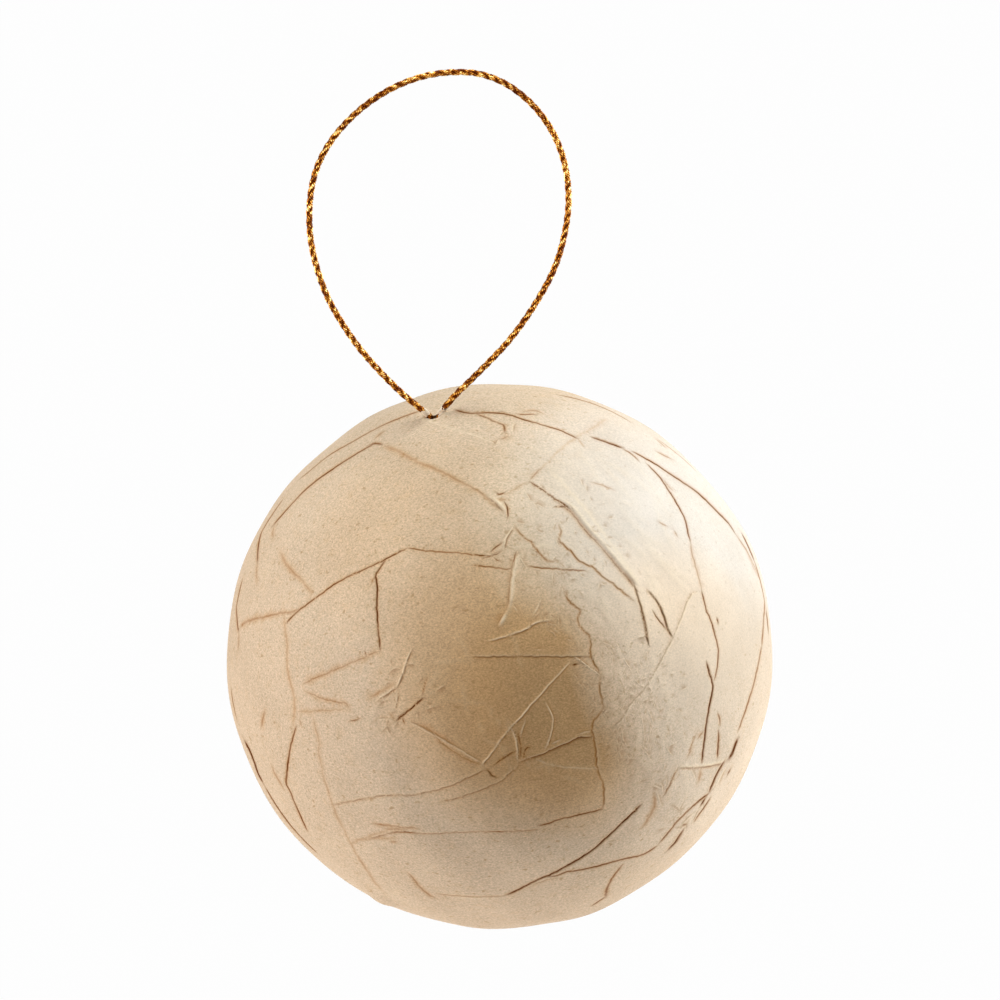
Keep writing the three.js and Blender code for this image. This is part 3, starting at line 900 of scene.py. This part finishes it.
def on_ball(points, side):
    """Points of the drawing as unit directions from the ball's centre."""
    turn, flip = side
    flat = (np.asarray(points, float) - SHEET_CENTRE) / SHEET_RADIUS * (1, -1)
    far = np.linalg.norm(flat, axis=1, keepdims=True)
    flat = flat * np.minimum(1, DRAWN_EDGE / np.maximum(far, TINY))
    c, s = math.cos(turn - SHEET_ROLL), math.sin(turn - SHEET_ROLL)
    x, z = c * flat[:, 0] - s * flat[:, 1], s * flat[:, 0] + c * flat[:, 1]
    y = -np.sqrt(1 - x**2 - z**2)
    c, s = math.cos(flip - SHEET_TILT), math.sin(flip - SHEET_TILT)
    return np.stack([x, c * y - s * z, s * y + c * z], axis=1)


def lay_fold(kind, points, side):
    """Stations along a fold, a little uneven in strength and in their line."""
    line = on_ball(smooth_line(points), side) * BALL_RADIUS
    stations, length = even_steps(line, FOLD_STEP)
    out = stations / np.linalg.norm(stations, axis=1, keepdims=True)
    left = np.cross(out, np.gradient(stations, axis=0))
    left /= np.linalg.norm(left, axis=1, keepdims=True)
    along = np.linspace(0, length, len(stations))
    from_end = np.minimum(along, length - along) / min(KINDS[kind].fade, length / 3)
    strength = np.minimum(END_STRENGTH[0] + END_STRENGTH[1] * from_end, 1)
    start = points[0][0] + points[0][1]
    uneven = UNEVEN[0] + UNEVEN[1] * np.sin(0.9 * along + start) * np.sin(0.37 * along + 2 * start)
    sway = 1.5 * np.sin(2.6 * along + start) * np.sin(0.83 * along + 2 * start)
    wander = KINDS[kind].wander * (sway + np.sin(4.7 * along + 3 * start))
    place = out * BALL_RADIUS + left * wander[:, None]
    facing = np.abs(out @ np.array(toward))
    wide = np.clip(WIDENS_AT / np.maximum(facing, TINY), 1, WIDEST)
    return Fold(KINDS[kind], place, left, strength * uneven, wide)


folds = []
for side in (FRONT, BACK):
    for kind, lines in FOLDS.items():
        for points in lines.values():
            far = np.linalg.norm(np.asarray(points) - SHEET_CENTRE, axis=1).max() / SHEET_RADIUS
            if side == FRONT or (far < BACK_EDGE and kind != "fray"):
                folds.append(lay_fold(kind, points, side))
print(f"{len(folds)} folds on the ball")

# %% [markdown]
# ## Points of the skin
# A subdivided sphere would need millions of faces to show a crease half a millimetre wide. Here the
# points follow the folds: several rows beside every line, close together at its middle, and an even
# spiral of points between. Finer points lie round the slot for the film of paste there, and a ring
# of points edges the slot.

# %% Helpers for the skin's points
SLOT_HALF = (1.25, 0.56)
SLOT_POINTS = 44
OUTSIDE = 9.0
# area round each of evenly packed points, by its step squared
HEXAGONAL = 0.866


def spiral(count):
    """Even directions all over a sphere."""
    i = np.arange(count)
    z = 1 - (2 * i + 1) / count
    ring, turn = np.sqrt(1 - z**2), i * math.pi * (3 - math.sqrt(5))
    return np.stack([ring * np.cos(turn), ring * np.sin(turn), z], axis=1)


def even_fill(step):
    """Points all over the ball, about that step apart."""
    return spiral(round(4 * math.pi * BALL_RADIUS**2 / (step**2 * HEXAGONAL))) * BALL_RADIUS


def slot_ring(radius):
    turn = np.arange(SLOT_POINTS) / SLOT_POINTS * math.tau
    x, y = SLOT_X + SLOT_HALF[0] * np.cos(turn), SLOT_HALF[1] * np.sin(turn)
    return np.stack([x, y, np.sqrt(radius**2 - x**2 - y**2)], axis=1)


def slot_share(points):
    """Less than one inside the slot, seen from straight above."""
    inside = ((points[:, 0] - SLOT_X) / SLOT_HALF[0]) ** 2 + (points[:, 1] / SLOT_HALF[1]) ** 2
    return np.where(points[:, 2] > 0, inside, OUTSIDE)


print(f"slot {2 * SLOT_HALF[0]} by {2 * SLOT_HALF[1]} mm")

# %% Points of the skin
FILL_STEP = 0.75
FILL_GAP = 0.36
ROW_GRID = 0.04
FILM_STEP = 0.17
FILM_REACH = 2.9
SLOT_CLEAR = 1.35

slot_middle = np.array([SLOT_X, 0, math.sqrt(BALL_RADIUS**2 - SLOT_X**2)])
film = even_fill(FILM_STEP)
rows = [film[np.linalg.norm(film - slot_middle, axis=1) < FILM_REACH]]
for fold in folds:
    for row in fold.kind.rows:
        rows.append(fold.place + fold.left * row * fold.wide[:, None])
rows = np.vstack(rows)
rows *= BALL_RADIUS / np.linalg.norm(rows, axis=1, keepdims=True)
_, first = np.unique(np.round(rows / ROW_GRID).astype(int), axis=0, return_index=True)
rows = rows[np.sort(first)]
near_rows = KDTree(len(rows))
for i, point in enumerate(rows):
    near_rows.insert(point, i)
near_rows.balance()
fill = even_fill(FILL_STEP)
fill = fill[[near_rows.find(point)[2] > FILL_GAP for point in fill]]
skin = np.vstack([rows, fill])
skin = np.vstack([slot_ring(BALL_RADIUS), skin[slot_share(skin) > SLOT_CLEAR]])
print(f"{len(rows)} points along folds, {len(fill)} between them")

# %% [markdown]
# ## Height and marks at every point
# Each fold lifts or sinks the points near it by its section, weaker towards its ends. A Displace
# modifier needs a texture for that, and a texture knows no left and right of a line. Where folds
# overlap, the highest lift and the deepest valley count, so that crossings don't pile up. The whole
# shell is also a little crumpled and its outline has flats and swells, as the picture shows. Two
# pale mounds of paste stand where the cord leaves the slot.

# %% Helpers for heights
CRUMPLE_LENGTH = 17
CRUMPLE_RISE = 0.12


def fold_effect(fold, points):
    """Distance to the left of the fold's line by its width there, and its strength there."""
    start, step = fold.place[:-1], np.diff(fold.place, axis=0)
    share = np.einsum("psk,sk->ps", points[:, None] - start, step)
    share = np.clip(share / np.einsum("sk,sk->s", step, step), 0, 1)
    gap = points[:, None] - start - share[..., None] * step
    apart = np.linalg.norm(gap, axis=2)
    best = apart.argmin(axis=1)
    pick = np.arange(len(points))
    on_left = np.einsum("pk,pk->p", gap[pick, best], fold.left[best]) >= 0
    far_left = np.where(on_left, 1, -1) * apart[pick, best]
    share = share[pick, best]
    strength, wide = (
        (1 - share) * value[best] + share * value[best + 1] for value in (fold.strength, fold.wide)
    )
    return far_left / wide, strength


def broad_crumple(points):
    x, y, z = points.T * math.tau / CRUMPLE_LENGTH
    across = np.sin(x + 0.6 * z) * np.cos(0.8 * y - 0.3 * x)
    slant = np.sin(0.7 * z - 0.5 * y + 1) * np.cos(0.9 * x + 2)
    return CRUMPLE_RISE * (across + slant)


# %% Lifts and marks of the folds
REACH = 8.0
# powers that set how sharply a mark ends
SHARP, SOFT = 4, 2

lift, sink, shade_and_stain_core_mark, stain_and_shade_mark, highlight_and_paste_mark = np.zeros((5, len(skin)))
for fold in folds:
    kind = fold.kind
    middle = fold.place.mean(axis=0)
    span = np.linalg.norm(fold.place - middle, axis=1).max() + REACH
    near = np.flatnonzero(np.linalg.norm(skin - middle, axis=1) < span)
    left, strength = fold_effect(fold, skin[near])
    if kind.section:
        height = kind.rise * strength * kind.section(left)
        lift[near] = np.maximum(lift[near], height)
        sink[near] = np.minimum(sink[near], height)
    # the gap mark is painted shade, the stain mark paste stain and painted shade, the pale mark a
    # painted highlight
    for mark, (share, place, width), edge in (
        (shade_and_stain_core_mark, kind.gap, SHARP),
        (stain_and_shade_mark, (kind.stain[0], kind.gap[1], kind.stain[1]), SOFT),
        (highlight_and_paste_mark, kind.pale, SOFT),
    ):
        there = share * strength * np.exp(-(((left - place) / width) ** edge))
        mark[near] = np.maximum(mark[near], there)
print(f"lifts to {lift.max():.2f} mm, valleys to {sink.min():.2f} mm")

# %% Heights of the skin
# swell of the outline: degrees clockwise from the right, rise and spread in mm
SWELLS = [
    (28, -0.55, 8), (52, -0.5, 8), (116, 0.75, 2.5), (168, 0.3, 7), (228, -0.35, 8),
    (279, -0.25, 7), (339, 0.35, 9),
]
# mound of paste at the slot: place, rise and spread in mm
FILM_MOUNDS = [(-8.3, 0.0, 0.5, 0.7), (-5.3, 0.0, 0.6, 0.75)]
# the paste film's own pale colour on the mounds
FILM_PALE = 0.8
OUT_OF_REACH = 99

height = lift + sink + broad_crumple(skin)
for angle, rise, spread in SWELLS:
    turn = math.radians(angle)
    spot = np.array(SHEET_CENTRE) + SHEET_RADIUS * np.array([math.cos(turn), math.sin(turn)])
    far = np.linalg.norm(skin - on_ball([spot], FRONT) * BALL_RADIUS, axis=1)
    height += rise * bell(far, spread)
for x, y, rise, spread in FILM_MOUNDS:
    far = np.hypot(skin[:, 0] - x, skin[:, 1] - y) + np.where(skin[:, 2] > 0, 0, OUT_OF_REACH)
    mound = bell(far, spread)
    height += rise * mound
    highlight_and_paste_mark = np.maximum(highlight_and_paste_mark, FILM_PALE * mound)
print(f"heights from {height.min():.2f} to {height.max():.2f} mm")

# %% [markdown]
# ## Closing the shell
# Remeshing would lose the rows along the folds, so the points are joined as they are, by Blender's
# triangulation of a plane. Seen from the slot, a stereographic projection spreads the whole ball on
# a plane and keeps circles round, so what is right there is right on the ball. The inner wall is
# made the same way and turned round, and a strip of faces between the two rings makes the slot's
# edge, so the shell is one closed piece.

# %% Triangles of a ball with a slot
def ball_faces(points):
    """Triangles that face outwards over a ball's points, leaving the slot open."""
    unit = points / np.linalg.norm(points, axis=1, keepdims=True)
    pole = slot_middle / BALL_RADIUS
    side = np.array([0.0, 1.0, 0.0])
    flat = np.stack([unit @ np.cross(side, pole), unit @ side], axis=1) / (1 - unit @ pole)[:, None]
    faces = np.array(delaunay_2d_cdt([Vector(p) for p in flat], [], [], 0, TINY)[2])
    corner = points[faces]
    across = np.cross(corner[:, 1] - corner[:, 0], corner[:, 2] - corner[:, 0])
    inward = np.einsum("fk,fk->f", across, corner[:, 0]) < 0
    faces[inward] = faces[inward][:, ::-1]
    in_slot = (faces < SLOT_POINTS).all(axis=1) & (slot_share(corner.mean(axis=1)) < 1)
    return faces[~in_slot]


# %% Close the shell
INNER_RADIUS = 38.0
INNER_POINTS = 2600
INNER_CLEAR = 1.6

inner = spiral(INNER_POINTS) * INNER_RADIUS
inner = np.vstack([slot_ring(INNER_RADIUS), inner[slot_share(inner) > INNER_CLEAR]])
ring = np.arange(SLOT_POINTS)
following = (ring + 1) % SLOT_POINTS
shell_faces = np.vstack([
    ball_faces(skin),
    ball_faces(inner)[:, ::-1] + len(skin),
    np.stack([ring, ring + len(skin), following], axis=1),
    np.stack([following, ring + len(skin), following + len(skin)], axis=1),
])
outer = skin * (1 + height / BALL_RADIUS)[:, None]
shell_points = np.vstack([outer, inner]) + np.array(BALL_CENTRE)
shell_mesh = bpy.data.meshes.new("paper_skin")
shell_mesh.from_pydata(shell_points * MM, [], shell_faces)
shell_mesh.polygons.foreach_set("use_smooth", np.ones(len(shell_faces), bool))
marks = np.zeros((len(shell_points), 4), np.float32)
# channels: painted shade in the gaps, stain and painted shade, painted highlight and the paste film
marks[: len(skin)] = np.stack([shade_and_stain_core_mark, stain_and_shade_mark, highlight_and_paste_mark, np.ones(len(skin))], axis=1)
kept_marks = shell_mesh.attributes.new("marks", "FLOAT_COLOR", "POINT")
kept_marks.data.foreach_set("color", marks.ravel())
shell = bpy.data.objects.new("paper_skin", shell_mesh)
scene.collection.objects.link(shell)
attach(shell, "root")
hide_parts("paper_ball")
print(f"{shell.name}: {len(shell_faces)} triangles")

# %% [markdown]
# ## Kraft paper
# The paper is matt tan kraft with a fine grain, mottling, cloudy blotches and a few dark flecks.
# Over it lie patches of painted light and shade, browner in the middle where the light is dim and
# paler with the grain washed out at the right where it is bright. The gaps between sheets get
# painted shade as a dark brown line, the orange band beside them is partly paste stain and partly
# painted shade, raised crests and edges get a painted highlight, and the paste film round the slot
# is pale. An image could carry all that, but nodes on Object coordinates stay sharp at any distance
# and need no unwrapping. A patch covers what lies within some angle of its middle, and later ones
# lie over earlier ones.

# %% Patches of painted light and shade
PAPER = (0.65, 0.465, 0.31, 1)
# patch of painted light and shade, browner where the light is dim and paler where it is bright:
# middle in the drawing, cosines where it begins and is full, colour, and how far it washes out the
# grain
SHADING_PATCHES = [
    ((625, 730), (0.88, 0.98), (0.68, 0.45, 0.275), 0.0),
    ((415, 530), (0.87, 0.985), (0.635, 0.43, 0.265), 0.0),
    ((540, 685), (0.785, 0.98), (0.585, 0.338, 0.153), 0.0),
    ((556, 706), (0.90, 0.985), (0.52, 0.292, 0.128), 0.0),
    ((588, 520), (0.89, 0.99), (0.73, 0.54, 0.365), 0.3),
    ((702, 525), (0.68, 0.97), (0.70, 0.575, 0.47), 0.6),
    ((678, 650), (0.89, 0.99), (0.81, 0.595, 0.415), 0.2),
    ((732, 738), (0.80, 0.97), (0.68, 0.51, 0.365), 0.2),
]


def map_range(tree, value, low, high, bottom=0.0, top=1.0):
    inputs = {"Value": value, "From Min": low, "From Max": high, "To Min": bottom, "To Max": top}
    return add_node(tree, "ShaderNodeMapRange", inputs).outputs[0]


def shading_patch_tones(tree, place):
    """The painted light and shade of the patches, and how much grain their washout leaves."""
    from_middle = vector_node(tree, "SUBTRACT", place, BALL_CENTRE * MM)
    tones, rough = PAPER, 1.0
    for spot, (begin, full), colour, washout in SHADING_PATCHES:
        near = add_node(
            tree, "ShaderNodeVectorMath", {0: from_middle, 1: on_ball([spot], FRONT)[0]},
            operation="DOT_PRODUCT",
        ).outputs["Value"]
        share = map_range(tree, near, begin * BALL_RADIUS * MM, full * BALL_RADIUS * MM)
        tones = mix_colour(tree, share, tones, (*colour, 1))
        left_over = math_node(tree, "MULTIPLY_ADD", share, -washout, 1.0)
        rough = math_node(tree, "MULTIPLY", rough, left_over)
    return tones, rough


print(f"{len(SHADING_PATCHES)} sheets of another tone")

# %% Paper material
PAPER_ROUGHNESS = 0.75
PAPER_GLOSS = 0.06
PULP_STRETCH = (0.7, 0.85, 1.0)
# scale of each noise, to the metre, and how strongly it shows
GRAIN, FLECKS, MOTTLING, BLOTCHES = 4600, 1500, 620, 110
GRAIN_DEPTH, FLECK_DEPTH, MOTTLE_DEPTH, BLOTCH_DEPTH = 0.34, 0.6, 0.24, 0.05
GRAIN_DISTORTION = 0.5
# a darker tone is also a redder one: factor and what is added for red and blue
RED_TONE = (0.94, 0.06)
BLUE_TONE = (1.1, -0.1)
MOTTLE = (0.58, 0.35, 0.17, 1)
FLECK = (0.40, 0.22, 0.09, 1)
# orange of paste stains, also painted shade beside creases, laps and ridges
STAIN_AND_SHADE = (0.47, 0.20, 0.05, 1)
# painted highlight on crests and edges, and the pale paste film round the slot
HIGHLIGHT_AND_PASTE = (0.875, 0.68, 0.455, 1)
# painted shade in the gaps, also the darker core of stains and smudges
SHADE_AND_STAIN_CORE = (0.125, 0.033, 0.004, 1)
GRAIN_BUMP = {"Strength": 0.08, "Distance": 0.05 * MM}


def paper_tone(tree, place, grain, rough):
    """Grain and blotches as a colour to multiply the paper by."""
    grainy = map_range(tree, grain, 0.2, 0.8, -GRAIN_DEPTH, GRAIN_DEPTH)
    grainy = math_node(tree, "MULTIPLY_ADD", grainy, rough, 1.0)
    blotch = noise_node(tree, place, BLOTCHES, 3)
    blotch = map_range(tree, blotch, 0.3, 0.7, -BLOTCH_DEPTH, BLOTCH_DEPTH)
    tone = math_node(tree, "ADD", grainy, blotch)
    red = math_node(tree, "MULTIPLY_ADD", tone, *RED_TONE)
    blue = math_node(tree, "MULTIPLY_ADD", tone, *BLUE_TONE)
    return add_node(tree, "ShaderNodeCombineColor", {0: red, 1: tone, 2: blue}).outputs[0]


def kraft_paper():
    material, tree, shader = new_material("pasted_kraft", PAPER_ROUGHNESS, 0.0)
    shader.inputs["Specular IOR Level"].default_value = PAPER_GLOSS
    place = add_node(tree, "ShaderNodeTexCoord").outputs["Object"]
    mark = attribute_node(tree, "marks", "Color")
    # gap is painted shade, stain is paste stain and painted shade, crest is painted highlight and
    # paste film
    gap, stain, crest = add_node(tree, "ShaderNodeSeparateColor", {0: mark}).outputs
    pulp = add_node(tree, "ShaderNodeMapping", {"Vector": place, "Scale": PULP_STRETCH}).outputs[0]
    grain = noise_node(tree, pulp, GRAIN, 2, GRAIN_DISTORTION)
    # painted light and shade, with the grain washed out where the light is brightest
    shading_patches, rough = shading_patch_tones(tree, place)
    mottle = noise_node(tree, place, MOTTLING, 3)
    mottle = map_range(tree, mottle, 0.5, 0.75, 0.0, MOTTLE_DEPTH)
    fleck = noise_node(tree, pulp, FLECKS, 1)
    fleck = map_range(tree, fleck, 0.66, 0.76, 0.0, FLECK_DEPTH)
    ragged = map_range(tree, grain, 0.3, 0.6, 0.8, 1.0)

    colour = mix_colour(tree, math_node(tree, "MULTIPLY", mottle, rough), shading_patches, MOTTLE)
    tone = paper_tone(tree, place, grain, rough)
    colour = mix_colour(tree, 1.0, colour, tone, "MULTIPLY")
    colour = mix_colour(tree, math_node(tree, "MULTIPLY", fleck, rough), colour, FLECK)
    # paste stains, and painted shade beside the gaps
    colour = mix_colour(tree, stain, colour, STAIN_AND_SHADE)
    # painted highlight on crests and edges, and the pale paste film
    colour = mix_colour(tree, crest, colour, HIGHLIGHT_AND_PASTE)
    # painted shade in the gaps
    colour = mix_colour(tree, math_node(tree, "MULTIPLY", gap, ragged), colour, SHADE_AND_STAIN_CORE)
    tree.links.new(colour, shader.inputs["Base Color"])
    bump = add_node(tree, "ShaderNodeBump", {**GRAIN_BUMP, "Height": grain})
    tree.links.new(bump.outputs[0], shader.inputs["Normal"])
    return material


shell_mesh.materials.append(kraft_paper())
print("paper finish:", shell_mesh.materials[0].name)

# %% [markdown]
# ## The knot
# The knot holds the cord from inside the ball. It could be modelled strand by strand, but it can't
# be seen and its solid already has the right form, so it stays and only gets gold foil.

# %% Knot finish
knot = bpy.data.objects["cord_knot"]
knot.data.materials.clear()
knot.data.materials.append(gold_foil("gold_knot_foil", twisted=False))
print("knot finish:", knot.data.materials[0].name)
